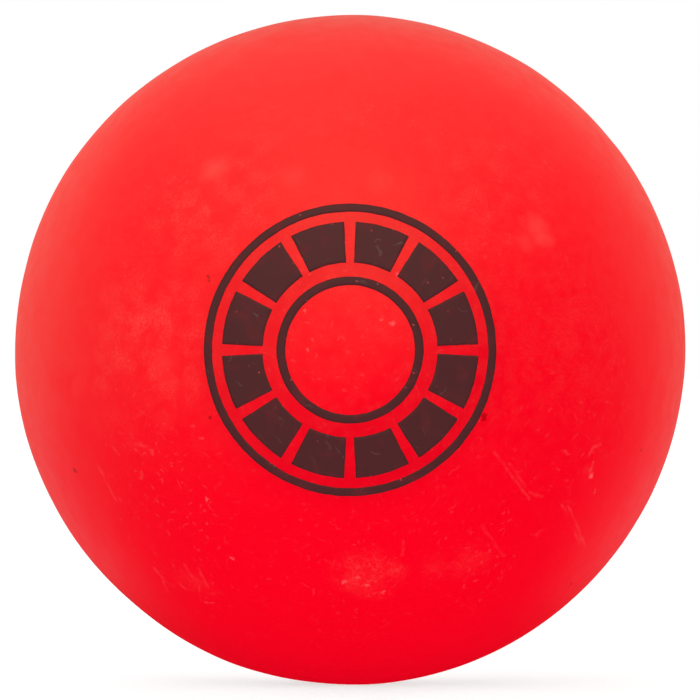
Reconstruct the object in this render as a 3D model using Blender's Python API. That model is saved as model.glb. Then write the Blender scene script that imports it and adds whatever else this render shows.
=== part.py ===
"""Street hockey ball: a hollow ball of flexible PVC, made of two half shells.

The halves meet in a tongue-and-groove seam and are cemented together, which leaves a bead of cement
round the inside. A barbed plug closes the vent hole at the back.

Metres, +Z up, origin at the ball's centre. The printed side faces -Y and the plug faces +Y, so the
seam lies in the XZ plane. Every piece is turned about its own local Z axis, and its outline is a list
of points (distance from that axis, height along it).
"""

import math

import bmesh
import bpy

# Driving dimensions of the ball
BALL_DIAMETER = 0.066
WALL = 0.0046
MATING_GAP = 0.0003

# Tongue on the rear half, which sets the groove in the front half
TONGUE_WIDTH = 0.0014
TONGUE_HEIGHT = 0.0016
TONGUE_CHAMFER = 0.0003

# Bead of cement along the seam, inside the ball
BEAD_WIDTH = 0.0040
BEAD_HEIGHT = 0.0010

# Vent hole and the plug that closes it
VENT_DIAMETER = 0.0044
PLUG_HEAD_DIAMETER = 0.0084
PLUG_HEAD_HEIGHT = 0.0013
PLUG_BARB_DIAMETER = 0.0060
PLUG_BARB_LAND = 0.0005
PLUG_TIP_DIAMETER = 0.0028
PLUG_TIP_LENGTH = 0.0016

# Fineness of the facets
SEGMENTS = 64
SHELL_RINGS = 16
BEAD_STEPS = 6
CROWN_STEPS = 3
WELD_DISTANCE = 1e-6
SMOOTH_ANGLE = math.radians(30)

# Places that follow from the dimensions
BALL_RADIUS = BALL_DIAMETER / 2
CAVITY_RADIUS = BALL_RADIUS - WALL
MID_WALL_RADIUS = BALL_RADIUS - WALL / 2
RIM_HEIGHT = MATING_GAP / 2
VENT_RADIUS = VENT_DIAMETER / 2
HEAD_RADIUS = PLUG_HEAD_DIAMETER / 2
SEAT_RADIUS = HEAD_RADIUS + MATING_GAP

# Turns that point a piece's local Z axis out of the front or the back of the ball
FACING_FRONT = (math.radians(90), 0, 0)
FACING_REAR = (math.radians(-90), 0, 0)

# Linear colour, roughness and metallic value of each material
PVC_RED = ((0.80, 0.004, 0.012, 1), 0.50, 0.0)
PLUG_RED = ((0.70, 0.004, 0.012, 1), 0.45, 0.0)
CEMENT_AMBER = ((0.62, 0.20, 0.10, 1), 0.25, 0.0)


def height_on_sphere(radius, distance):
    """Height of the point of a sphere that lies this far from the axis."""
    return math.sqrt(radius**2 - distance**2)


def sphere_arc(radius, start, end, steps):
    """Points along a sphere, from one angle to another, both measured from the pole."""
    angles = [start + (end - start) * i / steps for i in range(steps + 1)]
    return [(radius * math.sin(angle), radius * math.cos(angle)) for angle in angles]


def rim_angle(radius):
    """Angle from the pole to the rim of a half shell, which stops half a gap short of the seam plane."""
    return math.acos(RIM_HEIGHT / radius)


def plug_seat_height():
    """Height of the seat's floor in the rear half, one gap under the plug's head."""
    return height_on_sphere(BALL_RADIUS, HEAD_RADIUS) - PLUG_HEAD_HEIGHT - MATING_GAP


def front_half_shell_outline():
    """From the outer pole down to the rim, across the groove, and up to the pole of the cavity."""
    half_groove = TONGUE_WIDTH / 2 + MATING_GAP
    groove_floor = TONGUE_HEIGHT - RIM_HEIGHT + MATING_GAP
    outside = sphere_arc(BALL_RADIUS, 0, rim_angle(BALL_RADIUS), SHELL_RINGS)
    groove = [
        (MID_WALL_RADIUS + half_groove, RIM_HEIGHT),
        (MID_WALL_RADIUS + half_groove, groove_floor),
        (MID_WALL_RADIUS - half_groove, groove_floor),
        (MID_WALL_RADIUS - half_groove, RIM_HEIGHT),
    ]
    inside = sphere_arc(CAVITY_RADIUS, rim_angle(CAVITY_RADIUS), 0, SHELL_RINGS)
    return outside + groove + inside


def rear_half_shell_outline():
    """From the plug's seat down to the rim, round the tongue, and up to the vent hole and the seat."""
    half_tongue = TONGUE_WIDTH / 2
    tip_height = RIM_HEIGHT - TONGUE_HEIGHT
    shoulder_height = tip_height + TONGUE_CHAMFER
    seat_angle = math.asin(SEAT_RADIUS / BALL_RADIUS)
    vent_angle = math.asin(VENT_RADIUS / CAVITY_RADIUS)
    outside = sphere_arc(BALL_RADIUS, seat_angle, rim_angle(BALL_RADIUS), SHELL_RINGS)
    tongue = [
        (MID_WALL_RADIUS + half_tongue, RIM_HEIGHT),
        (MID_WALL_RADIUS + half_tongue, shoulder_height),
        (MID_WALL_RADIUS + half_tongue - TONGUE_CHAMFER, tip_height),
        (MID_WALL_RADIUS - half_tongue + TONGUE_CHAMFER, tip_height),
        (MID_WALL_RADIUS - half_tongue, shoulder_height),
        (MID_WALL_RADIUS - half_tongue, RIM_HEIGHT),
    ]
    inside = sphere_arc(CAVITY_RADIUS, rim_angle(CAVITY_RADIUS), vent_angle, SHELL_RINGS)
    seat = [(VENT_RADIUS, plug_seat_height()), (SEAT_RADIUS, plug_seat_height())]
    return outside + tongue + inside + seat


def seam_cement_bead_outline():
    """Down the side that faces the cavity's wall, and back up over the rounded side."""
    back_radius = CAVITY_RADIUS - MATING_GAP
    half_angle = BEAD_WIDTH / 2 / back_radius
    top, bottom = math.pi / 2 - half_angle, math.pi / 2 + half_angle
    back = sphere_arc(back_radius, top, bottom, BEAD_STEPS)
    crown = []
    for i in range(1, BEAD_STEPS):
        share = i / BEAD_STEPS
        radius = back_radius - BEAD_HEIGHT * math.sin(math.pi * share)
        angle = bottom + (top - bottom) * share
        crown.append((radius * math.sin(angle), radius * math.cos(angle)))
    return back + crown


def vent_plug_outline():
    """From the crown, which is flush with the ball, down the head and the shank to the barbed tip."""
    shank_radius = VENT_RADIUS - MATING_GAP
    barb_radius = PLUG_BARB_DIAMETER / 2
    head_underside = plug_seat_height() + MATING_GAP
    barb_top = height_on_sphere(CAVITY_RADIUS, barb_radius) - MATING_GAP
    barb_bottom = barb_top - PLUG_BARB_LAND
    tip_bottom = barb_bottom - PLUG_TIP_LENGTH
    crown = sphere_arc(BALL_RADIUS, 0, math.asin(HEAD_RADIUS / BALL_RADIUS), CROWN_STEPS)
    shank_and_tip = [
        (HEAD_RADIUS, head_underside),
        (shank_radius, head_underside),
        (shank_radius, barb_top),
        (barb_radius, barb_top),
        (barb_radius, barb_bottom),
        (PLUG_TIP_DIAMETER / 2, tip_bottom),
        (0, tip_bottom),
    ]
    return crown + shank_and_tip


def principled_material(name, colour, roughness, metallic):
    material = bpy.data.materials.new(name)
    material.use_nodes = True
    shader = material.node_tree.nodes["Principled BSDF"]
    shader.inputs["Base Color"].default_value = colour
    shader.inputs["Roughness"].default_value = roughness
    shader.inputs["Metallic"].default_value = metallic
    material.diffuse_color = colour
    return material


def turned_piece(name, outline, facing, parent, look):
    """A solid made by spinning an outline once about the local Z axis, turned to face front or rear."""
    shape = bmesh.new()
    points = [shape.verts.new((distance, 0, height)) for distance, height in outline]
    ends_on_axis = outline[0][0] == 0
    following = points[1:] if ends_on_axis else points[1:] + points[:1]
    edges = [shape.edges.new(pair) for pair in zip(points, following)]
    bmesh.ops.spin(
        shape,
        geom=points + edges,
        cent=(0, 0, 0),
        axis=(0, 0, 1),
        angle=math.tau,
        steps=SEGMENTS,
        use_merge=True,
    )
    bmesh.ops.remove_doubles(shape, verts=shape.verts, dist=WELD_DISTANCE)
    bmesh.ops.recalc_face_normals(shape, faces=shape.faces)

    mesh = bpy.data.meshes.new(name)
    shape.to_mesh(mesh)
    shape.free()
    mesh.shade_smooth()
    mesh.set_sharp_from_angle(angle=SMOOTH_ANGLE)
    mesh.materials.append(principled_material(name, *look))

    piece = bpy.data.objects.new(name, mesh)
    bpy.context.scene.collection.objects.link(piece)
    piece.parent = parent
    piece.rotation_euler = facing
    return piece


def main():
    for old in list(bpy.data.objects):
        bpy.data.objects.remove(old, do_unlink=True)

    centre = bpy.data.objects.new("ball_centre", None)
    bpy.context.scene.collection.objects.link(centre)

    turned_piece("front_half_shell", front_half_shell_outline(), FACING_FRONT, centre, PVC_RED)
    turned_piece("rear_half_shell", rear_half_shell_outline(), FACING_REAR, centre, PVC_RED)
    turned_piece("seam_cement_bead", seam_cement_bead_outline(), FACING_REAR, centre, CEMENT_AMBER)
    turned_piece("vent_plug", vent_plug_outline(), FACING_REAR, centre, PLUG_RED)


main()
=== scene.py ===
"""Looks of the street hockey ball: worn satin PVC skins, a printed roundel, the seam and the vent plug.

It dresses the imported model. Metres, +Z up, origin at the ball's centre, the printed side facing -Y.
"""

import math

import bmesh
import bpy
import numpy as np
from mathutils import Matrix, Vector, noise


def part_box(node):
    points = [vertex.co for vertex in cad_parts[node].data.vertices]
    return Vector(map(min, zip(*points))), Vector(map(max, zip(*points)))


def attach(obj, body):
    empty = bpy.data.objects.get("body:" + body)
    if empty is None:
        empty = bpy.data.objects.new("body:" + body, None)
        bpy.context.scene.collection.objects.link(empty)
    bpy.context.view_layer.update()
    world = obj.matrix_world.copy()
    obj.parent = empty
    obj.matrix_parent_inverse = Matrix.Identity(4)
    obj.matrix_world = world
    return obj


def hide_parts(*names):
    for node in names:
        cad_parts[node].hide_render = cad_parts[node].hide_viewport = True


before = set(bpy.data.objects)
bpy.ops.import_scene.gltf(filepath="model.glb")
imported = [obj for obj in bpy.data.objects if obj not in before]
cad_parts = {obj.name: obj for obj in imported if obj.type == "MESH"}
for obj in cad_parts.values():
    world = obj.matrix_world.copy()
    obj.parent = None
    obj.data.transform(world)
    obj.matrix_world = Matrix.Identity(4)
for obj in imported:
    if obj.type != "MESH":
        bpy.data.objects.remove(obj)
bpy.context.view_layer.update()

# The gap that the solids keep to their neighbours
MATING_GAP = 0.0003

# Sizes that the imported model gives
rear_low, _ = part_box("rear_half_shell")
_, bead_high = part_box("seam_cement_bead")
plug_low, plug_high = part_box("vent_plug")
BALL_RADIUS = plug_high.y
CAVITY_RADIUS = bead_high.x + MATING_GAP
MID_WALL_RADIUS = (BALL_RADIUS + CAVITY_RADIUS) / 2
TONGUE_REACH = -rear_low.y
HEAD_RADIUS = plug_high.x
PLUG_TIP_HEIGHT = plug_low.y

# Sizes of the rims and of the plug, as modelled in the solids
TONGUE_WIDTH = 0.0014
TONGUE_CHAMFER = 0.0003
VENT_RADIUS = 0.0022
HEAD_HEIGHT = 0.0013
BARB_RADIUS = 0.0030
BARB_LAND = 0.0005
PLUG_TIP_RADIUS = 0.0014

# Fineness of the skins
SKIN_SEGMENTS = 360
SKIN_RINGS = 160
CAVITY_RINGS = 24
SEAM_STEPS = 14
CROWN_STEPS = 24
ROUND_STEPS = 4
SMOOTH_ANGLE = math.radians(35)

# The seam as it shows: a hairline between rounded edges on a low, uneven ridge of trimmed flash
HAIRLINE = 0.00001
EDGE_ROUND = 0.00012
SEAM_ZONE = 0.0016
FLASH_HEIGHT = 0.00007
FLASH_REACH = 0.00045
FLASH_WANDER = 0.004
FLASH_MEAN = 0.6
FLASH_CHANGE = 0.3
FLASH_END = 3 * FLASH_REACH

# The plug as it shows: a narrow slit round a slightly dished head with a moulding nib
SLIT = 0.00012
HEAD_DISH = 0.00012
NIB_RADIUS = 0.0007
NIB_HEIGHT = 0.00010
NIB_EDGE = 0.00006

# Shape of the worn skin: slightly flat places as (middle, depth, spread), waves as (size, height), shallow
# dents, and how far under the surface a point still belongs to the outer side
FLATS = [
    ((0.77, 0.0, -0.64), 0.00015, math.radians(24)),
    ((-0.71, 0.0, -0.71), 0.00018, math.radians(22)),
    ((0.0, 0.0, -1.0), 0.00005, math.radians(14)),
]
WAVES = [(0.012, 0.000022), (0.005, 0.000006)]
WAVE_COUNT = 32
WAVE_SPREAD = (0.6, 1.4)
WAVE_SEED = 3
DENT_COUNT = 46
DENT_DEPTHS = (0.00002, 0.00006)
DENT_RADII = (0.0006, 0.0017)
DENT_STRAY = 0.5
DENT_SEED = 7
OUTER_MARGIN = 2 * EDGE_ROUND

# The printed roundel: rings as (inner radius, outer radius, number of breaks, width of a break)
INK_LIFT = 0.000010
INK_THICKNESS = 0.000010
INK_STEP = 0.00030
INK_WOBBLE = 0.000035
INK_WOBBLE_SIZE = 0.0008
INK_WOBBLE_SEED = 5
LEAST_INK_ROWS = 2
LEAST_INK_COLUMNS = 8
PRINT_RINGS = [
    (0.0129, 0.0137, 0, 0.0),
    (0.0080, 0.0119, 12, 0.0009),
    (0.0059, 0.0067, 0, 0.0),
]

# Painted shade: the ink swallows light that spreads inside the vinyl, so the red beside it is painted
# darker
INK_SHADE = 0.20
INK_SHADE_REACH = 0.0026
VINYL_SPREAD = 0.0015

# Camera: the ball's radius in the 700-pixel frame sets how far off the camera stands
FRAME_SIDE_PX = 700
BALL_RADIUS_PX = 335.1
LENS_MM = 200
SENSOR_MM = 36
PIXEL_SLOPE = SENSOR_MM / LENS_MM / FRAME_SIDE_PX
EYE_DISTANCE = BALL_RADIUS / math.sin(math.atan(BALL_RADIUS_PX * PIXEL_SLOPE))
PIXEL = BALL_RADIUS / BALL_RADIUS_PX

# Wear on the front, by where it shows in that frame in pixels
# Powdery scuffs: x, y, radius, strength
SCUFFS = [
    (362, 571, 38, 0.52),
    (349, 580, 24, 0.52),
    (374, 584, 28, 0.66),
    (394, 572, 20, 0.36),
    (440, 567, 30, 0.19),
    (466, 561, 36, 0.22),
    (481, 557, 20, 0.26),
    (190, 580, 26, 0.23),
    (209, 589, 20, 0.13),
    (148, 446, 22, 0.10),
    (588, 472, 12, 0.5),
]
# Soft pale spots: x, y, radius, strength
SPOTS = [
    (214, 169, 26, 1.6),
    (292, 177, 24, 0.75),
    (380, 182, 24, 0.7),
    (538, 227, 21, 1.4),
    (542, 239, 20, 1.4),
    (525, 243, 19, 0.85),
    (112, 304, 22, 0.40),
    (163, 364, 25, 0.85),
    (168, 383, 20, 0.6),
    (133, 343, 22, 0.35),
    (200, 319, 20, 0.35),
    (84, 364, 22, 0.35),
    (165, 420, 20, 0.35),
]
# Cloudy areas, with a mottled bloom: x, y, radius, strength
CLOUDY = [
    (150, 352, 113, 1.30),
    (110, 300, 80, 0.55),
    (215, 200, 130, 0.85),
    (480, 190, 140, 0.55),
    (330, 110, 150, 0.35),
    (590, 330, 130, 0.36),
    (65, 380, 90, 0.6),
]
# Dusty areas, with more loose flecks: x, y, radius, strength
DUSTY = [
    (165, 500, 110, 0.8),
    (145, 435, 75, 0.7),
    (200, 592, 60, 0.7),
    (575, 430, 115, 0.8),
    (500, 545, 80, 0.9),
    (370, 572, 60, 0.9),
    (330, 330, 120, 0.8),
]
# Scratches: start, end, strength
SCRATCHES = [
    ((495, 453), (512, 476), 0.20),
    ((512, 476), (529, 499), 0.20),
    ((509, 463), (527, 488), 0.16),
    ((530, 492), (542, 497), 0.22),
    ((562, 505), (580, 546), 0.28),
    ((568, 506), (585, 547), 0.30),
    ((576, 524), (582, 544), 0.26),
    ((601, 444), (594, 447), 0.35),
    ((594, 447), (589, 455), 0.35),
    ((594, 462), (590, 477), 0.50),
    ((484, 528), (493, 541), 0.12),
    ((493, 541), (504, 556), 0.14),
    ((404, 540), (402, 556), 0.12),
    ((155, 569), (165, 581), 0.32),
    ((163, 582), (168, 592), 0.30),
    ((184, 565), (191, 576), 0.22),
    ((191, 576), (203, 583), 0.22),
    ((178, 583), (187, 590), 0.24),
    ((198, 569), (209, 588), 0.22),
    ((206, 603), (213, 603), 0.34),
    ((226, 122), (282, 105), 0.12),
    ((104, 478), (116, 500), 0.25),
    ((114, 448), (119, 455), 0.25),
    ((98, 467), (104, 476), 0.25),
    ((135, 443), (148, 447), 0.25),
]
# Bright flecks of grit: x, y, radius, strength
FLECKS = [
    (309, 274, 2.5, 0.6),
    (397, 274, 3.0, 0.6),
    (305, 311, 2.5, 0.8),
    (313, 340, 2.0, 0.6),
    (308, 351, 2.5, 0.7),
    (381, 319, 2.5, 0.6),
    (392, 324, 3.0, 0.9),
    (106, 444, 2.5, 0.20),
    (101, 472, 3.5, 0.30),
    (142, 412, 3.0, 0.20),
    (140, 444, 3.0, 0.25),
    (145, 454, 3.0, 0.20),
    (152, 452, 4.0, 0.30),
    (142, 474, 3.5, 0.25),
    (162, 480, 3.0, 0.20),
    (172, 465, 3.5, 0.20),
    (176, 454, 2.5, 0.30),
    (193, 426, 3.0, 0.25),
    (202, 438, 2.5, 0.40),
    (207, 499, 3.0, 0.8),
    (207, 524, 2.5, 0.6),
    (232, 558, 3.0, 0.8),
    (213, 603, 2.5, 0.7),
    (344, 582, 3.5, 0.75),
    (357, 578, 4.0, 0.55),
    (368, 585, 3.0, 0.65),
    (383, 592, 3.0, 0.5),
    (591, 476, 4.0, 1.0),
    (595, 492, 3.0, 0.7),
]
# Dark specks, small pits with their shade painted dark: x, y, radius, strength
SPECKS = [
    (209, 276, 2.5, 0.7),
    (209, 280, 2.5, 0.7),
    (484, 417, 4.5, 0.7),
    (571, 585, 3.5, 0.7),
    (641, 450, 2.5, 0.6),
    (75, 471, 3.5, 0.7),
]

# Wear on the rear, which the frame doesn't show, at random places: how many, radii or lengths, strengths
REAR_SEED = 11
REAR_SCUFFS = (9, (0.0015, 0.0035), (0.4, 0.8))
REAR_SPOTS = (9, (0.0012, 0.0020), (0.3, 0.9))
REAR_CLOUDY = (6, (0.008, 0.015), (0.4, 0.9))
REAR_DUSTY = (6, (0.006, 0.011), (0.7, 1.0))
REAR_SCRATCHES = (10, (0.0012, 0.0050), (0.2, 0.7))
REAR_FLECKS = (16, (0.0002, 0.0004), (0.6, 1.0))
REAR_SPECKS = (5, (0.0003, 0.00045), (0.5, 0.7))

# Mottle: noise of a size, stretched from one value to another between two of its levels
BLOTCHES = dict(size=0.0021, detail=4, low=0.34, high=0.68)
HAZE_MOTTLE = dict(size=0.0012, detail=4, low=0.32, high=0.68, at_high=2.0)
HAZE_GRAIN = dict(size=0.00018, detail=2, low=0.30, high=0.70, at_low=0.2, at_high=1.8)
POWDER_GRAIN = dict(size=0.00022, detail=3, low=0.30, high=0.70, at_low=0.5, at_high=1.3)
DUST_MOTTLE = dict(size=0.0075, detail=2, low=0.45, high=0.65, at_low=0.15, at_high=0.5)
SCRATCH_BREAKS = dict(size=0.0005, detail=3, low=0.38, high=0.62, at_low=0.3, at_high=0.9)
RUBBED_PLACES = dict(size=0.0030, detail=3, low=0.40, high=0.66, at_low=0.1, at_high=0.8)
POLISH = dict(size=0.0016, detail=4, low=0.32, high=0.68, at_low=0.39, at_high=0.45)

# How noise pushes each kind of wear about: the noise's size, how far it pushes, and its middle colour
SCUFF_PUSH = dict(size=0.0014, amount=0.0014)
CLOUD_PUSH = dict(size=0.010, amount=0.012)
DUST_PUSH = dict(size=0.008, amount=0.008)
SCRATCH_PUSH = dict(size=0.0016, amount=0.0005)
SPECK_PUSH = dict(size=0.0004, amount=0.0008)
LINT_PUSH = dict(size=0.0009, amount=0.0007)
FLAKE_PUSH = dict(size=0.0004, amount=0.0004)
MID_GREY = (0.5, 0.5, 0.5)

# Marks spread all over, one to a cell, in a share of the cells
LINT = dict(cell=0.0016, length=0.0013, width=0.00007, share=0.9)
FLAKES = dict(cell=0.0008, length=0.00060, width=0.00012, share=0.9)
GRIT = dict(cell=0.0034, length=0.00045, width=0.00020, share=0.35)
PITS = dict(cell=0.0058, length=0.00050, width=0.00030, share=0.35)
LINT_STRENGTH = 0.40
GRIT_STRENGTH = 0.8

# Curly lines in the scuffs, which follow one level of a noise
WISPS = dict(size=0.0014, detail=3)
WISP_LEVEL = 0.5
WISP_WIDTH = 0.03
WISP_STRENGTH = 0.8
WISP_BREAKS = 0.0007

# How the wear changes from the lower to the upper of two heights; the haze growing towards the top is
# painted light from above
TOP_LIGHT_HAZE_HEIGHTS = (-0.018, 0.004)
TOP_LIGHT_HAZE_STRENGTHS = (0.01, 0.12)
DUST_HEIGHTS = (-0.029, -0.022)
DUST_STRENGTHS = (0.15, 1.0)

# Other measures of the wear: a core is the share of a mark's radius that has its full strength
SCUFF_EVENNESS = 0.3
SCRATCH_WIDTH = 0.00024
FLECK_CORE = 0.3
SPECK_CORE = 0.5
RUBBED_SEAM = (0.00005, 0.0007)
RUBBED_SLIT = (0.00005, 0.0006)

# PVC: colours, how much the wear covers the red and roughens it, sheen and fine bump
RED = (0.90, 0.0004, 0.0126, 1)
# The red that the painted shade beside the ink goes towards
SHADED_RED = (0.30, 0.0, 0.008, 1)
# The bloom's pale red, which also paints light from above into the haze
BLOOM_AND_TOP_LIGHT_RED = (0.91, 0.036, 0.039, 1)
FLECK_PINK = (0.92, 0.12, 0.14, 1)
# Painted shade: the dark red of the pits and specks
PIT_SHADE_RED = (0.34, 0.0, 0.004, 1)
BLOOM_COVER = 0.6
MARK_COVER = 0.65
BLOOM_ROUGHNESS = 0.10
MARK_ROUGHNESS = 0.2
SHEEN_LEVEL = 0.3
SHEEN_TINT = (1.0, 1.0, 0.62, 1)
PIMPLES = dict(size=0.00025, detail=3)
PIMPLE_HEIGHT = 0.6
BUMP_STRENGTH = 0.12
BUMP_DEPTH = 0.00005

# Ink: colours, thin places, chips and lint, and how much each covers
INK = (0.070, 0.018, 0.021, 1)
INK_THIN = (0.13, 0.018, 0.024, 1)
INK_CHIP = (0.50, 0.06, 0.06, 1)
INK_DUST = (0.17, 0.11, 0.11, 1)
INK_THIN_PLACES = dict(size=0.0018, detail=4, low=0.48, high=0.78)
INK_CHIPS = dict(cell=0.0011, length=0.00030, width=0.00010, share=0.5)
INK_LINT = dict(cell=0.0016, length=0.0013, width=0.00008, share=0.8)
INK_THIN_COVER = 0.6
INK_CHIP_COVER = 0.8
INK_DUST_COVER = 0.35
INK_ROUGHNESS = 0.55
INK_THIN_ROUGHNESS = 0.2
INK_SHEEN_LEVEL = 0.12

# Cement: two colours in streaks, and the roughness between two levels of the streaks
CEMENT_AMBER = (0.62, 0.20, 0.10, 1)
CEMENT_BROWN = (0.42, 0.10, 0.05, 1)
CEMENT_STREAKS = dict(size=0.0015, detail=3)
CEMENT_LEVELS = (0.3, 0.7)
CEMENT_ROUGHNESS = (0.18, 0.35)

# Studio light: soft lobes as (bearing, elevation, narrowness, strength), with bearings in degrees:
# 0 is the camera's side, 90 the right, 180 behind and 270 the left
LOBES = [
    (0, 40, 8, 2.2),
    (270, 70, 8, 1.15),
    (300, 10, 8, 0.60),
    (240, 10, 8, 0.70),
    (200, 14, 8, 0.32),
    (180, 40, 8, 0.48),
    (150, 10, 8, 0.46),
    (135, 50, 8, 0.15),
    (90, 70, 8, 0.60),
    (90, 40, 8, 0.18),
    (120, 10, 24, 0.29),
    (140, -18, 40, 0.34),
    (210, -20, 8, 0.11),
    (220, -22, 24, 0.16),
]
# Light from below is white and light from above warm; the change lies between these sines of elevation
WHITE = (1.0, 1.0, 1.0, 1)
WARM_LIGHT = (1.0, 1.0, 0.77, 1)
TINT_RISE = (-0.3, 0.0)
# The strip of table under the ball stays dark: how steep its edges are, and how soft
STRIP_SLOPE = 0.77
STRIP_EDGE = (0.0, 0.12)
# Fill lamps, which add no highlights, as (bearing, elevation, spread in degrees, strength)
FILLS = {
    "front_card": (30, 0, 30, 1.74),
    "right_card": (120, 0, 60, 1.40),
    "back_card": (150, 0, 30, 0.70),
    "back_left_card": (240, 0, 60, 1.35),
    "left_card": (300, 0, 60, 0.84),
    "floor_bounce": (0, -90, 60, 2.45),
}

# Floor: pale paper that glows a little, far wider than the view
FLOOR_REACH = 4.0
FLOOR_PALE = (0.76, 0.76, 0.96, 1)
FLOOR_WHITE = (0.80, 0.80, 1.0, 1)
FLOOR_GRAIN = dict(size=0.0008, detail=4)
FLOOR_ROUGHNESS = 0.9
FLOOR_GLOW = 0.35

# Sides of the ball along Y
FRONT = -1
REAR = 1


def sphere_arc(radius, start, end, steps):
    """Points (distance from the axis, height) along a sphere between two angles from the pole."""
    angles = [start + (end - start) * i / steps for i in range(steps + 1)]
    return [(radius * math.sin(angle), radius * math.cos(angle)) for angle in angles]


def height_on_sphere(radius, distance):
    return math.sqrt(radius**2 - distance**2)


def rounded_seam_edge():
    """Points from the edge of the seam zone to the hairline, over the rounded edge of the rim."""
    points = []
    for i in range(1, SEAM_STEPS + 1):
        from_rim = (SEAM_ZONE - HAIRLINE / 2) * (1 - i / SEAM_STEPS) ** 2
        sunk = 0.0
        if from_rim < EDGE_ROUND:
            sunk = EDGE_ROUND - math.sqrt(EDGE_ROUND**2 - (EDGE_ROUND - from_rim) ** 2)
        angle = math.pi / 2 - (from_rim + HAIRLINE / 2) / BALL_RADIUS
        radius = BALL_RADIUS - sunk
        points.append((radius * math.sin(angle), radius * math.cos(angle)))
    return points


def skin_outside(start):
    """The outer side of a half, from an angle at the pole to the rim."""
    end = math.pi / 2 - SEAM_ZONE / BALL_RADIUS
    return sphere_arc(BALL_RADIUS, start, end, SKIN_RINGS) + rounded_seam_edge()


def cavity_side(end):
    start = math.acos(HAIRLINE / 2 / CAVITY_RADIUS)
    return sphere_arc(CAVITY_RADIUS, start, end, CAVITY_RINGS)


def front_outline():
    rim = HAIRLINE / 2
    half = TONGUE_WIDTH / 2 + MATING_GAP
    floor = TONGUE_REACH + MATING_GAP
    groove = [
        (MID_WALL_RADIUS + half, rim),
        (MID_WALL_RADIUS + half, floor),
        (MID_WALL_RADIUS - half, floor),
        (MID_WALL_RADIUS - half, rim),
    ]
    return skin_outside(0) + groove + cavity_side(0)


def seat_height():
    return height_on_sphere(BALL_RADIUS, HEAD_RADIUS) - HEAD_HEIGHT - MATING_GAP


def rear_outline():
    rim = HAIRLINE / 2
    half = TONGUE_WIDTH / 2
    seat_radius = HEAD_RADIUS + SLIT
    mouth_radius = seat_radius + EDGE_ROUND
    mouth_height = height_on_sphere(BALL_RADIUS, mouth_radius) - EDGE_ROUND
    mouth = [(seat_radius, seat_height()), (seat_radius, mouth_height)]
    for i in range(1, ROUND_STEPS):
        turn = math.pi / 2 * i / ROUND_STEPS
        distance = mouth_radius - EDGE_ROUND * math.cos(turn)
        mouth.append((distance, mouth_height + EDGE_ROUND * math.sin(turn)))
    tongue = [
        (MID_WALL_RADIUS + half, rim),
        (MID_WALL_RADIUS + half, TONGUE_CHAMFER - TONGUE_REACH),
        (MID_WALL_RADIUS + half - TONGUE_CHAMFER, -TONGUE_REACH),
        (MID_WALL_RADIUS - half + TONGUE_CHAMFER, -TONGUE_REACH),
        (MID_WALL_RADIUS - half, TONGUE_CHAMFER - TONGUE_REACH),
        (MID_WALL_RADIUS - half, rim),
    ]
    inside = cavity_side(math.asin(VENT_RADIUS / CAVITY_RADIUS))
    outside = skin_outside(math.asin(mouth_radius / BALL_RADIUS))
    return mouth + outside + tongue + inside + [(VENT_RADIUS, seat_height())]


def plug_outline():
    shank_radius = VENT_RADIUS - MATING_GAP
    head_bottom = seat_height() + MATING_GAP
    barb_top = height_on_sphere(CAVITY_RADIUS, BARB_RADIUS) - MATING_GAP
    crown = []
    flat_radius = HEAD_RADIUS - EDGE_ROUND
    for i in range(CROWN_STEPS + 1):
        distance = flat_radius * i / CROWN_STEPS
        dish = HEAD_DISH * math.cos(math.pi / 2 * (distance / flat_radius)) ** 2
        nib = NIB_HEIGHT / (1 + math.exp((distance - NIB_RADIUS) / NIB_EDGE))
        crown.append((distance, height_on_sphere(BALL_RADIUS, distance) - dish + nib))
    edge_height = crown[-1][1] - EDGE_ROUND
    for i in range(1, ROUND_STEPS + 1):
        turn = math.pi / 2 * i / ROUND_STEPS
        distance = flat_radius + EDGE_ROUND * math.sin(turn)
        crown.append((distance, edge_height + EDGE_ROUND * math.cos(turn)))
    return crown + [
        (HEAD_RADIUS, head_bottom),
        (shank_radius, head_bottom),
        (shank_radius, barb_top),
        (BARB_RADIUS, barb_top),
        (BARB_RADIUS, barb_top - BARB_LAND),
        (PLUG_TIP_RADIUS, PLUG_TIP_HEIGHT),
        (0, PLUG_TIP_HEIGHT),
    ]


def dents():
    """Directions, depths and radii of the shallow dents, spread evenly by a golden-angle spiral."""
    random = np.random.default_rng(DENT_SEED)
    turn = math.pi * (3 - math.sqrt(5))
    found = []
    for i in range(DENT_COUNT):
        height = 1 - 2 * (i + 0.5) / DENT_COUNT
        around = turn * i + random.uniform(-DENT_STRAY, DENT_STRAY)
        ring = math.sqrt(1 - height**2)
        way = np.array([ring * math.cos(around), ring * math.sin(around), height])
        found.append((way, random.uniform(*DENT_DEPTHS), random.uniform(*DENT_RADII)))
    return found


def wavy(ways, size):
    """A smooth random height of unit spread, with features of about this size: a sum of plane waves."""
    random = np.random.default_rng(WAVE_SEED)
    total = np.zeros(len(ways))
    for _ in range(WAVE_COUNT):
        along = random.normal(size=3)
        turns = random.uniform(*WAVE_SPREAD) * BALL_RADIUS / size / np.linalg.norm(along)
        total += np.cos(math.tau * turns * (ways @ along) + random.uniform(0, math.tau))
    return total * math.sqrt(2 / WAVE_COUNT)


def angles_from(ways, middle):
    """The angle between each of these directions and one other."""
    return np.arccos(np.clip(ways @ np.array(middle), -1, 1))


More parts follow.
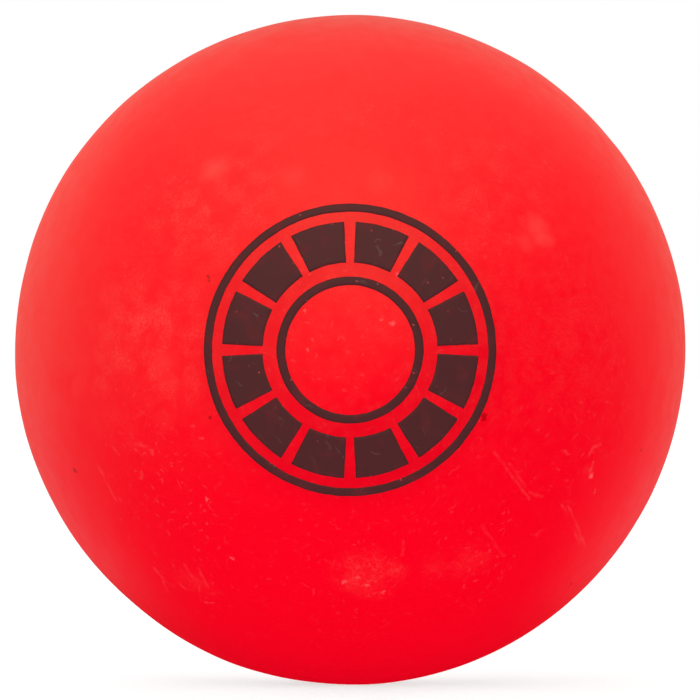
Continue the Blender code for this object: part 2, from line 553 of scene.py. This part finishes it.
def relief(places):
    """How far the skin stands out from a true sphere at each of these places, in metres."""
    ways = places / np.linalg.norm(places, axis=1, keepdims=True)
    height = np.zeros(len(ways))
    for middle, depth, spread in FLATS:
        height -= depth * np.exp(-((angles_from(ways, middle) / spread) ** 2))
    for size, amount in WAVES:
        height += amount * wavy(ways, size)
    for middle, depth, radius in dents():
        distance = BALL_RADIUS * angles_from(ways, middle)
        height -= depth * np.exp(-((distance / radius) ** 2))
    from_seam = BALL_RADIUS * np.abs(np.arcsin(np.clip(ways[:, 1], -1, 1)))
    near = from_seam < FLASH_END
    ridge = FLASH_HEIGHT * np.exp(-((from_seam[near] / FLASH_REACH) ** 2))
    along_seam = ways[near] * (1, 0, 1)
    height[near] += ridge * (FLASH_MEAN + FLASH_CHANGE * wavy(along_seam, FLASH_WANDER))
    return height


def new_piece(name, shape, material):
    mesh = bpy.data.meshes.new(name)
    shape.to_mesh(mesh)
    shape.free()
    mesh.shade_smooth()
    mesh.set_sharp_from_angle(angle=SMOOTH_ANGLE)
    mesh.materials.append(material)
    piece = bpy.data.objects.new(name, mesh)
    bpy.context.scene.collection.objects.link(piece)
    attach(piece, "root")
    return piece


def turned_shape(outline, side):
    """A solid made by turning an outline about the ball's axis, on its front or rear side."""
    shape = bmesh.new()
    rings = []
    for distance, height in outline:
        if distance == 0:
            rings.append([shape.verts.new((0, side * height, 0))] * SKIN_SEGMENTS)
            continue
        angles = [math.tau * i / SKIN_SEGMENTS for i in range(SKIN_SEGMENTS)]
        places = [(distance * math.cos(a), side * height, distance * math.sin(a)) for a in angles]
        rings.append([shape.verts.new(place) for place in places])
    following = rings[1:] if outline[0][0] == 0 else rings[1:] + rings[:1]
    for ring, next_ring in zip(rings, following):
        for i in range(SKIN_SEGMENTS):
            corners = (ring[i - 1], next_ring[i - 1], next_ring[i], ring[i])
            shape.faces.new(dict.fromkeys(corners))
    bmesh.ops.recalc_face_normals(shape, faces=shape.faces)
    return shape


def roughen(shape):
    """Moves the outer side of a turned shape out or in by the skin's relief."""
    outer = [v for v in shape.verts if v.co.length > BALL_RADIUS - OUTER_MARGIN]
    places = np.array([v.co for v in outer])
    for vert, height in zip(outer, relief(places)):
        vert.co *= 1 + height / BALL_RADIUS


def print_patch(shape, inner, outer, start, end):
    """One ring or part of a ring, as a sheet of small faces in the print's flat plane."""
    rows = max(LEAST_INK_ROWS, round((outer - inner) / INK_STEP))
    columns = max(LEAST_INK_COLUMNS, round((end - start) * outer / INK_STEP))
    whole = math.isclose(end - start, math.tau)
    grid = []
    for i in range(rows + 1):
        radius = inner + (outer - inner) * i / rows
        angles = [start + (end - start) * j / columns for j in range(columns + (not whole))]
        grid.append([shape.verts.new((radius * math.cos(a), radius * math.sin(a), 0)) for a in angles])
    for low, high in zip(grid, grid[1:]):
        for j in range(columns):
            k = (j + 1) % len(low)
            shape.faces.new((low[j], high[j], high[k], low[k]))


def print_shape():
    """The roundel, wrapped on the ball and lifted just clear of the skin."""
    shape = bmesh.new()
    for inner, outer, breaks, width in PRINT_RINGS:
        if not breaks:
            print_patch(shape, inner, outer, 0, math.tau)
        for i in range(breaks):
            gap = width / ((inner + outer) / 2)
            start = math.tau * i / breaks + gap / 2
            print_patch(shape, inner, outer, start, start + math.tau / breaks - gap)
    noise.seed_set(INK_WOBBLE_SEED)
    for vert in shape.verts:
        flat = vert.co.copy()
        flat += noise.noise_vector(flat / INK_WOBBLE_SIZE) * INK_WOBBLE
        polar = math.hypot(flat.x, flat.y) / BALL_RADIUS
        around = math.atan2(flat.y, flat.x)
        side = math.sin(polar)
        vert.co = (side * math.cos(around), -math.cos(polar), side * math.sin(around))
    places = np.array([v.co for v in shape.verts])
    for vert, height in zip(shape.verts, relief(places)):
        vert.co *= BALL_RADIUS + height + INK_LIFT
    bmesh.ops.recalc_face_normals(shape, faces=shape.faces)
    return shape


def on_ball(x, y):
    """The point of the ball's front that the camera sees at this place in the frame."""
    middle = FRAME_SIDE_PX / 2
    ray = Vector(((x - middle) * PIXEL_SLOPE, 1, (middle - y) * PIXEL_SLOPE)).normalized()
    eye = Vector((0, -EYE_DISTANCE, 0))
    along = -eye.dot(ray)
    aside = EYE_DISTANCE**2 - along**2
    return eye + ray * (along - math.sqrt(BALL_RADIUS**2 - aside))


class Shader:
    """The nodes of a material or of the world, with short calls for those that are used here."""

    def __init__(self, owner):
        owner.use_nodes = True
        self.nodes = owner.node_tree.nodes
        self.links = owner.node_tree.links
        self.coordinates = self.node("ShaderNodeTexCoord").outputs
        self.place = self.coordinates["Object"]

    def feed(self, socket, value):
        if isinstance(value, bpy.types.NodeSocket):
            self.links.new(value, socket)
        else:
            socket.default_value = value

    def node(self, kind, inputs=None, **settings):
        made = self.nodes.new(kind)
        for name, value in settings.items():
            setattr(made, name, value)
        for name, value in (inputs or {}).items():
            self.feed(made.inputs[name], value)
        return made

    def math(self, operation, first, second=0.0):
        return self.node("ShaderNodeMath", {0: first, 1: second}, operation=operation).outputs[0]

    def plus(self, first, second):
        return self.math("ADD", first, second)

    def times(self, first, second):
        return self.math("MULTIPLY", first, second)

    def largest(self, first, *others):
        for other in others:
            first = self.math("MAXIMUM", first, other)
        return first

    def distance(self, first, second):
        """How far apart two values are."""
        return self.math("ABSOLUTE", self.math("SUBTRACT", first, second))

    def vector(self, operation, first, second=(0, 0, 0)):
        made = self.node("ShaderNodeVectorMath", {0: first, 1: second}, operation=operation)
        return made.outputs["Value" if operation in ("DOT_PRODUCT", "DISTANCE", "LENGTH") else "Vector"]

    def scaled(self, vector, amount):
        made = self.node("ShaderNodeVectorMath", {0: vector, "Scale": amount}, operation="SCALE")
        return made.outputs["Vector"]

    def ramp(self, value, low, high, at_low=0.0, at_high=1.0):
        """A smooth step from one value to another."""
        inputs = {"Value": value, "From Min": low, "From Max": high, "To Min": at_low, "To Max": at_high}
        return self.node("ShaderNodeMapRange", inputs, interpolation_type="SMOOTHSTEP").outputs["Result"]

    def fade(self, value, low, high):
        """A smooth step down from 1 to 0."""
        return self.ramp(value, low, high, 1.0, 0.0)

    def cloud(self, size, detail=2.0):
        """Noise whose features are about this size, in metres."""
        inputs = {"Vector": self.place, "Scale": 1 / size, "Detail": detail}
        return self.node("ShaderNodeTexNoise", inputs).outputs["Fac"]

    def mottle(self, size, detail, low, high, at_low=0.0, at_high=1.0):
        """Noise that goes from one value to another between two of its levels."""
        return self.ramp(self.cloud(size, detail), low, high, at_low, at_high)

    def warped(self, size, amount):
        """The place on the ball, pushed about by noise."""
        made = self.node("ShaderNodeTexNoise", {"Vector": self.place, "Scale": 1 / size, "Detail": 1.0})
        push = self.vector("SUBTRACT", made.outputs["Color"], MID_GREY)
        return self.vector("ADD", self.place, self.scaled(push, amount))

    def dashes(self, place, cell, length, width, share):
        """Short thin marks of differing strength, each a slice through the point of its cell."""
        cells = self.node("ShaderNodeTexVoronoi", {"Vector": place, "Scale": 1 / cell})
        middle = cells.outputs["Position"]
        offset = self.vector("SUBTRACT", place, middle)
        across = self.vector("NORMALIZE", self.vector("SUBTRACT", cells.outputs["Color"], MID_GREY))
        aside = self.math("ABSOLUTE", self.vector("DOT_PRODUCT", offset, across))
        line = self.fade(aside, width / 4, width)
        ends = self.fade(self.vector("LENGTH", offset), length / 4, length / 2)
        draw = self.node("ShaderNodeTexWhiteNoise", {"Vector": middle}).outputs["Value"]
        strength = self.largest(self.math("SUBTRACT", 1.0, self.math("DIVIDE", draw, share)), 0.0)
        return self.times(self.times(line, ends), strength)

    def streak(self, place, start, end, width):
        """One straight mark from a point to another."""
        along = end - start
        offset = self.vector("SUBTRACT", place, start)
        share = self.vector("DOT_PRODUCT", offset, along / along.length_squared)
        nearest = self.scaled(along, self.node("ShaderNodeClamp", {"Value": share}).outputs[0])
        return self.fade(self.vector("DISTANCE", offset, nearest), width / 4, width)

    def blend(self, share, first, second):
        made = self.node("ShaderNodeMix", {"Factor": share}, data_type="RGBA")
        colours = [socket for socket in made.inputs if socket.type == "RGBA"]
        self.feed(colours[0], first)
        self.feed(colours[1], second)
        return next(socket for socket in made.outputs if socket.type == "RGBA")


class Finish(Shader):
    """A material's nodes."""

    def __init__(self, name):
        self.material = bpy.data.materials.new(name)
        super().__init__(self.material)
        self.surface = self.nodes["Principled BSDF"]

    def set(self, name, value):
        self.feed(self.surface.inputs[name], value)

    def along(self, axis):
        return self.node("ShaderNodeSeparateXYZ", {"Vector": self.place}).outputs[axis]

    def from_axis(self):
        """Distance from the axis that the ball is turned about."""
        return self.vector("LENGTH", self.vector("MULTIPLY", self.place, (1, 0, 1)))


def front_wear():
    """Round marks as (point, radius, strength), scratches as (start, end, strength), and the print."""

    def marks(seen):
        return [(on_ball(x, y), radius * PIXEL, strength) for x, y, radius, strength in seen]

    return {
        "scuffs": marks(SCUFFS),
        "spots": marks(SPOTS),
        "cloudy": marks(CLOUDY),
        "dusty": marks(DUSTY),
        "scratches": [(on_ball(*start), on_ball(*end), strength) for start, end, strength in SCRATCHES],
        "flecks": marks(FLECKS),
        "specks": marks(SPECKS),
        "print": PRINT_RINGS,
    }


def rear_wear():
    """The same kinds of wear at random places on the rear."""
    random = np.random.default_rng(REAR_SEED)

    def spot():
        way = Vector(random.normal(size=3)).normalized()
        way.y = abs(way.y)
        return way * BALL_RADIUS

    def marks(count, radii, strengths):
        return [(spot(), random.uniform(*radii), random.uniform(*strengths)) for _ in range(count)]

    def scratch(lengths, strengths):
        start = spot()
        along = start.cross(Vector(random.normal(size=3))).normalized()
        return start, start + along * random.uniform(*lengths), random.uniform(*strengths)

    def lines(count, lengths, strengths):
        return [scratch(lengths, strengths) for _ in range(count)]

    return {
        "scuffs": marks(*REAR_SCUFFS),
        "spots": marks(*REAR_SPOTS),
        "cloudy": marks(*REAR_CLOUDY),
        "dusty": marks(*REAR_DUSTY),
        "scratches": lines(*REAR_SCRATCHES),
        "flecks": marks(*REAR_FLECKS),
        "specks": marks(*REAR_SPECKS),
        "print": [],
    }


def patches(finish, place, marks, core=0.0):
    """Soft round patches, full strength out to this share of their radius."""
    total = 0.0
    for point, radius, strength in marks:
        reach = finish.vector("DISTANCE", place, point)
        total = finish.largest(total, finish.ramp(reach, core * radius, radius, strength, 0.0))
    return total


def scratches(finish, lines):
    """Thin broken lines, not quite straight."""
    place = finish.warped(**SCRATCH_PUSH)
    total = 0.0
    for start, end, strength in lines:
        line = finish.streak(place, start, end, SCRATCH_WIDTH)
        total = finish.largest(total, finish.times(line, strength))
    return finish.times(total, finish.mottle(**SCRATCH_BREAKS))


def red_with_painted_ink_shade(finish, rings):
    """The red, with shade painted darker beside the printed rings, more by a wide ring than by a thin one.
    """
    if not rings:
        return RED
    across = finish.from_axis()
    shade = 0.0
    for inner, outer, _, _ in rings:
        swallowed = INK_SHADE * (1 - math.exp((inner - outer) / VINYL_SPREAD))
        low, high = (BALL_RADIUS * math.sin(radius / BALL_RADIUS) for radius in (inner, outer))
        from_middle = finish.distance(across, (low + high) / 2)
        beside = finish.math("SUBTRACT", from_middle, (high - low) / 2)
        shade = finish.plus(shade, finish.ramp(beside, 0.0, INK_SHADE_REACH, swallowed, 0.0))
    return finish.blend(shade, RED, SHADED_RED)


def rubbed_edges(finish):
    """Where the skin is rubbed pale in places: along the seam and round the plug."""
    along_axis = finish.along("Y")
    seam = finish.fade(finish.math("ABSOLUTE", along_axis), *RUBBED_SEAM)
    slit = finish.fade(finish.distance(finish.from_axis(), HEAD_RADIUS), *RUBBED_SLIT)
    at_rear = finish.math("GREATER_THAN", along_axis, 0.0)
    edges = finish.largest(seam, finish.times(slit, at_rear))
    return finish.times(edges, finish.mottle(**RUBBED_PLACES))


def bloom_and_top_light_on_skin(finish, wear, worn):
    """Where the skin has gone pale: a haze, painted paler towards the top as light from above, clouds,
    spots, powdery scuffs and rubbed edges.
    """
    blotches = finish.mottle(**BLOTCHES)
    # Painted light: the haze is faint low down and strong near the top, as if lit from above
    painted_top_light_haze = finish.ramp(finish.along("Z"), *TOP_LIGHT_HAZE_HEIGHTS, *TOP_LIGHT_HAZE_STRENGTHS)
    cloudy = patches(finish, finish.warped(**CLOUD_PUSH), wear["cloudy"])
    haze = finish.largest(finish.times(painted_top_light_haze, finish.mottle(**HAZE_MOTTLE)), finish.times(blotches, cloudy))
    haze = finish.times(haze, finish.mottle(**HAZE_GRAIN))
    powdered = finish.times(finish.mottle(**POWDER_GRAIN), worn)
    scuffed = finish.times(powdered, finish.plus(blotches, SCUFF_EVENNESS))
    spots = patches(finish, finish.warped(**SCUFF_PUSH), wear["spots"])
    return finish.largest(scuffed, haze, spots, rubbed_edges(finish))


def marks_on_skin(finish, wear, worn):
    """Pale marks: lint, flakes and grit, curly lines in the scuffs, scratches, and single flecks."""
    dusty = patches(finish, finish.warped(**DUST_PUSH), wear["dusty"])
    dusty = finish.largest(dusty, finish.mottle(**DUST_MOTTLE))
    dusty = finish.times(dusty, finish.ramp(finish.along("Z"), *DUST_HEIGHTS, *DUST_STRENGTHS))
    lint = finish.dashes(finish.warped(**LINT_PUSH), **LINT)
    flakes = finish.dashes(finish.warped(**FLAKE_PUSH), **FLAKES)
    fibres = finish.times(finish.largest(lint, flakes), LINT_STRENGTH)
    grit = finish.times(finish.dashes(finish.place, **GRIT), GRIT_STRENGTH)
    loose = finish.times(finish.largest(fibres, grit), dusty)
    from_level = finish.distance(finish.cloud(**WISPS), WISP_LEVEL)
    curls = finish.ramp(from_level, 0.0, WISP_WIDTH, WISP_STRENGTH, 0.0)
    wisps = finish.times(worn, finish.times(curls, finish.cloud(WISP_BREAKS)))
    flecks = patches(finish, finish.warped(**SPECK_PUSH), wear["flecks"], FLECK_CORE)
    return finish.largest(loose, wisps, scratches(finish, wear["scratches"]), flecks)


def pits_with_painted_shade(finish, wear):
    """Small pits, dented by the bump and with their shade painted dark: many small ones, and single
    specks.
    """
    specks = patches(finish, finish.warped(**SPECK_PUSH), wear["specks"], SPECK_CORE)
    return finish.largest(finish.dashes(finish.place, **PITS), specks)


def pvc_material(name, wear):
    finish = Finish(name)
    worn = patches(finish, finish.warped(**SCUFF_PUSH), wear["scuffs"])
    bloom_and_top_light = bloom_and_top_light_on_skin(finish, wear, worn)
    marks = marks_on_skin(finish, wear, worn)
    pits = pits_with_painted_shade(finish, wear)

    # Painted shade beside the ink
    colour = red_with_painted_ink_shade(finish, wear["print"])
    # The bloom, with painted light from above in its haze
    colour = finish.blend(finish.times(bloom_and_top_light, BLOOM_COVER), colour, BLOOM_AND_TOP_LIGHT_RED)
    colour = finish.blend(finish.times(marks, MARK_COVER), colour, FLECK_PINK)
    # Pits, with their shade painted dark
    finish.set("Base Color", finish.blend(pits, colour, PIT_SHADE_RED))

    rough = finish.plus(finish.mottle(**POLISH), finish.times(bloom_and_top_light, BLOOM_ROUGHNESS))
    finish.set("Roughness", finish.plus(rough, finish.times(marks, MARK_ROUGHNESS)))
    finish.set("Specular IOR Level", SHEEN_LEVEL)
    finish.set("Specular Tint", SHEEN_TINT)

    pimples = finish.times(finish.cloud(**PIMPLES), PIMPLE_HEIGHT)
    height = finish.math("SUBTRACT", pimples, pits)
    inputs = {"Height": height, "Strength": BUMP_STRENGTH, "Distance": BUMP_DEPTH}
    finish.set("Normal", finish.node("ShaderNodeBump", inputs).outputs["Normal"])
    return finish.material


def ink_material():
    finish = Finish("print_ink")
    thin = finish.mottle(**INK_THIN_PLACES)
    chips = finish.dashes(finish.place, **INK_CHIPS)
    dust = finish.dashes(finish.warped(**LINT_PUSH), **INK_LINT)
    colour = finish.blend(finish.times(thin, INK_THIN_COVER), INK, INK_THIN)
    colour = finish.blend(finish.times(chips, INK_CHIP_COVER), colour, INK_CHIP)
    finish.set("Base Color", finish.blend(finish.times(dust, INK_DUST_COVER), colour, INK_DUST))
    finish.set("Roughness", finish.plus(INK_ROUGHNESS, finish.times(thin, INK_THIN_ROUGHNESS)))
    finish.set("Specular IOR Level", INK_SHEEN_LEVEL)
    return finish.material


def cement_material():
    finish = Finish("seam_cement")
    streaks = finish.cloud(**CEMENT_STREAKS)
    finish.set("Base Color", finish.blend(streaks, CEMENT_AMBER, CEMENT_BROWN))
    finish.set("Roughness", finish.ramp(streaks, *CEMENT_LEVELS, *CEMENT_ROUGHNESS))
    return finish.material


def make_ball():
    for name, node, outline, side, wear in [
        ("front_skin", "front_half_shell", front_outline(), FRONT, front_wear()),
        ("rear_skin", "rear_half_shell", rear_outline(), REAR, rear_wear()),
    ]:
        shape = turned_shape(outline, side)
        roughen(shape)
        half = new_piece(name, shape, pvc_material(name, wear))
        # The halves throw no red on the floor
        half.visible_diffuse = False
        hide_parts(node)

    plug_shape = turned_shape(plug_outline(), REAR)
    plug = new_piece("plug_skin", plug_shape, pvc_material("plug_skin", rear_wear()))
    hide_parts("vent_plug")

    roundel = new_piece("printed_roundel", print_shape(), ink_material())
    film = roundel.modifiers.new("film", "SOLIDIFY")
    film.thickness = INK_THICKNESS
    film.offset = 1

    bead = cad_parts["seam_cement_bead"]
    bead.data.materials.clear()
    bead.data.materials.append(cement_material())


def make_floor():
    signs = [(-1, -1), (1, -1), (1, 1), (-1, 1)]
    corners = [(x * FLOOR_REACH, y * FLOOR_REACH, -BALL_RADIUS) for x, y in signs]
    mesh = bpy.data.meshes.new("floor")
    mesh.from_pydata(corners, [], [(0, 1, 2, 3)])
    floor = bpy.data.objects.new("floor", mesh)
    bpy.context.scene.collection.objects.link(floor)
    finish = Finish("floor_paper")
    finish.set("Base Color", finish.blend(finish.cloud(**FLOOR_GRAIN), FLOOR_PALE, FLOOR_WHITE))
    finish.set("Roughness", FLOOR_ROUGHNESS)
    finish.set("Emission Color", WHITE)
    finish.set("Emission Strength", FLOOR_GLOW)
    mesh.materials.append(finish.material)
    # It lets light through from below, where the lobes and a lamp stand for what a floor would send up
    floor.visible_glossy = False
    floor.visible_diffuse = False
    floor.visible_shadow = False


def light_way(bearing, elevation):
    """The direction that light comes from."""
    around = math.radians(bearing)
    up = math.radians(elevation)
    return Vector((math.sin(around) * math.cos(up), -math.cos(around) * math.cos(up), math.sin(up)))


def make_world():
    """Light from soft lobes all round, which the camera itself sees as plain white."""
    world = bpy.data.worlds.new("studio")
    bpy.context.scene.world = world
    shader = Shader(world)
    way = shader.coordinates["Generated"]
    parts = shader.node("ShaderNodeSeparateXYZ", {"Vector": way}).outputs
    total = 0.0
    for bearing, elevation, narrowness, strength in LOBES:
        facing = shader.vector("DOT_PRODUCT", way, light_way(bearing, elevation))
        lobe = shader.math("POWER", shader.largest(facing, 0.0), narrowness)
        total = shader.plus(total, shader.times(lobe, strength))
    aside = shader.plus(shader.math("ABSOLUTE", parts["X"]), shader.times(parts["Z"], STRIP_SLOPE))
    total = shader.times(total, shader.ramp(aside, *STRIP_EDGE))
    tint = shader.blend(shader.ramp(parts["Z"], *TINT_RISE), WHITE, WARM_LIGHT)
    seen = shader.node("ShaderNodeLightPath").outputs["Is Camera Ray"]
    background = shader.nodes["Background"].inputs
    shader.feed(background["Color"], shader.blend(seen, tint, WHITE))
    shader.feed(background["Strength"], shader.largest(total, seen))


def make_fill_lamps():
    """Wide soft lamps that light the colours and stay out of the highlights."""
    for name, (bearing, elevation, spread, strength) in FILLS.items():
        data = bpy.data.lights.new(name, "SUN")
        data.angle = math.radians(spread)
        data.energy = strength
        data.cycles.use_multiple_importance_sampling = False
        lamp = bpy.data.objects.new(name, data)
        lamp.rotation_euler = light_way(bearing, elevation).to_track_quat("Z", "Y").to_euler()
        lamp.visible_glossy = False
        bpy.context.scene.collection.objects.link(lamp)


def make_camera():
    data = bpy.data.cameras.new("camera")
    data.lens = LENS_MM
    data.sensor_width = SENSOR_MM
    camera = bpy.data.objects.new("camera", data)
    camera.location = (0, -EYE_DISTANCE, 0)
    camera.rotation_euler = (math.radians(90), 0, 0)
    bpy.context.scene.collection.objects.link(camera)
    bpy.context.scene.camera = camera
    bpy.context.scene.view_settings.view_transform = "Standard"


make_ball()
make_floor()
make_world()
make_fill_lamps()
make_camera()
